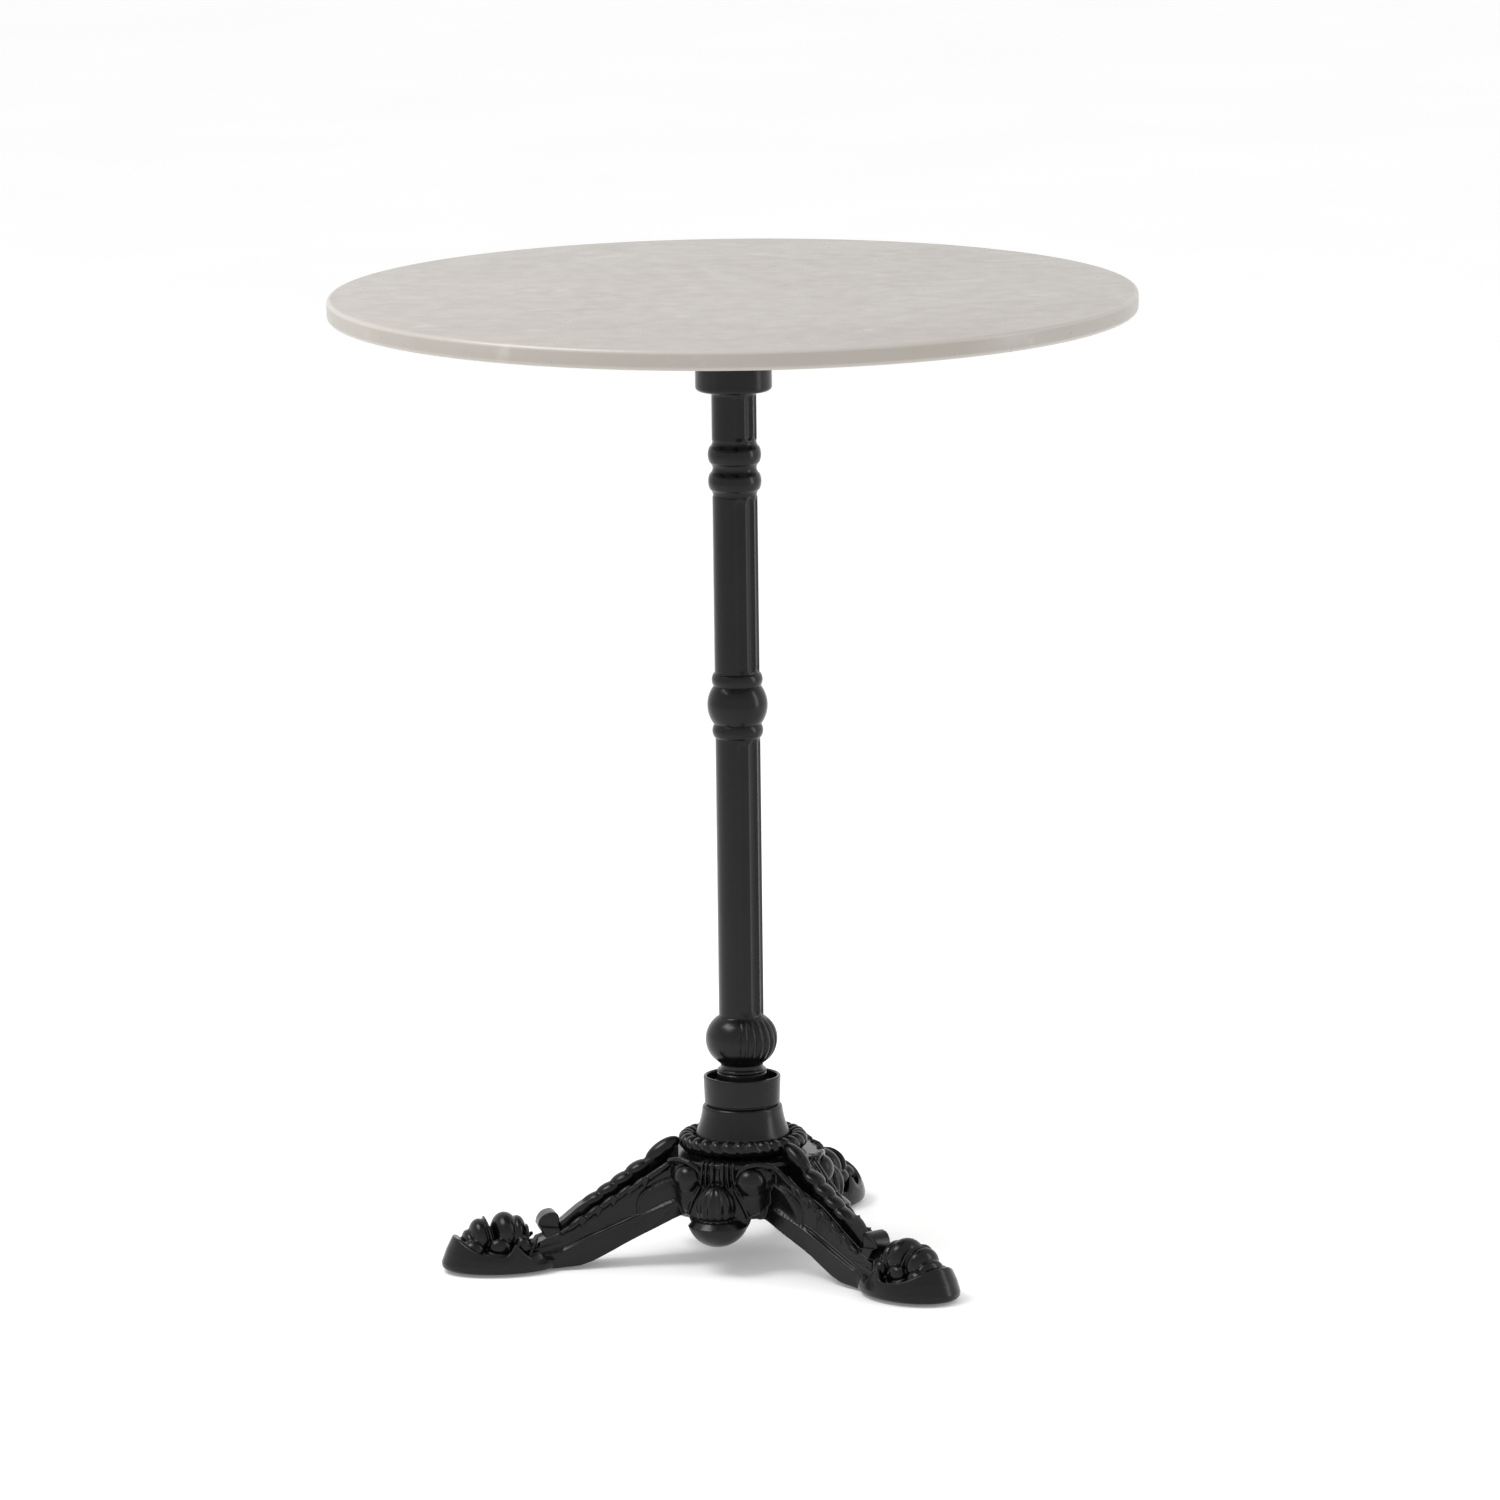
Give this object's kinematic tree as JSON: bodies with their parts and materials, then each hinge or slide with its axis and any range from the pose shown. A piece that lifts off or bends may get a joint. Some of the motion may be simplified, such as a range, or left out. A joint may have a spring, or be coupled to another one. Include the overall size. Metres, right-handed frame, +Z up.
{
  "type": "bistro table",
  "caption": "Round stone-topped bistro table on a slim cast-iron column with an ornate three-legged cast base and levelling glides.",
  "frame": {"origin": "the point of the floor under the middle of the top, with the glides screwed fully in", "axes": "+Z up along the column; leg 1 points along -X and the other two at 60 degrees either side of +X"},
  "size_m": [0.5999, 0.6, 0.73],
  "materials": {
    "stone": "honed marble, off-white with faint grey veins",
    "black_iron": "satin black paint over a sand casting",
    "zinc_steel": "bright zinc plate",
    "brass": "plain turned brass",
    "black_rubber": "matt",
    "black_nylon": "moulded nylon"
  },
  "bodies": {
    "table": {"tabletop": "stone", "top_inserts": "brass", "spider_pads": "black_rubber", "spider_screws": "zinc_steel", "spider_washers": "zinc_steel", "top_spider": "black_iron", "tie_rod": "zinc_steel", "rod_top_nut": "zinc_steel", "rod_top_washer": "zinc_steel", "rod_base_washer": "zinc_steel", "rod_lock_washer": "zinc_steel", "rod_base_nut": "zinc_steel", "column": "black_iron", "socket_collar": "black_iron", "tripod_base": "black_iron"},
    "glide_foot_1": {"glide_pad_1": "black_nylon"},
    "glide_screw_1": {"glide_stem_1": "zinc_steel"},
    "glide_foot_2": {"glide_pad_2": "black_nylon"},
    "glide_screw_2": {"glide_stem_2": "zinc_steel"},
    "glide_foot_3": {"glide_pad_3": "black_nylon"},
    "glide_screw_3": {"glide_stem_3": "zinc_steel"}
  },
  "joints": [
    {"name": "glide_1_lift", "type": "slide", "parent": "table", "child": "glide_foot_1", "axis": [0, 0, -1], "range_m": [0, 0.008]},
    {"name": "glide_1_turn", "type": "hinge", "parent": "glide_foot_1", "child": "glide_screw_1", "pos_m": [-0.185, 0, 0], "axis": [0, 0, -1], "range_deg": [0, 2304.6]},
    {"name": "glide_2_lift", "type": "slide", "parent": "table", "child": "glide_foot_2", "axis": [0, 0, -1], "range_m": [0, 0.008]},
    {"name": "glide_2_turn", "type": "hinge", "parent": "glide_foot_2", "child": "glide_screw_2", "pos_m": [0.0925, -0.16021, 0], "axis": [0, 0, -1], "range_deg": [0, 2304.6]},
    {"name": "glide_3_lift", "type": "slide", "parent": "table", "child": "glide_foot_3", "axis": [0, 0, -1], "range_m": [0, 0.008]},
    {"name": "glide_3_turn", "type": "hinge", "parent": "glide_foot_3", "child": "glide_screw_3", "pos_m": [0.0925, 0.16021, 0], "axis": [0, 0, -1], "range_deg": [0, 2304.6]}
  ],
  "couplings": [
    {"joint": "glide_1_turn", "follows": "glide_1_lift", "rad_per_m": 5026.5},
    {"joint": "glide_2_turn", "follows": "glide_2_lift", "rad_per_m": 5026.5},
    {"joint": "glide_3_turn", "follows": "glide_3_lift", "rad_per_m": 5026.5}
  ]
}
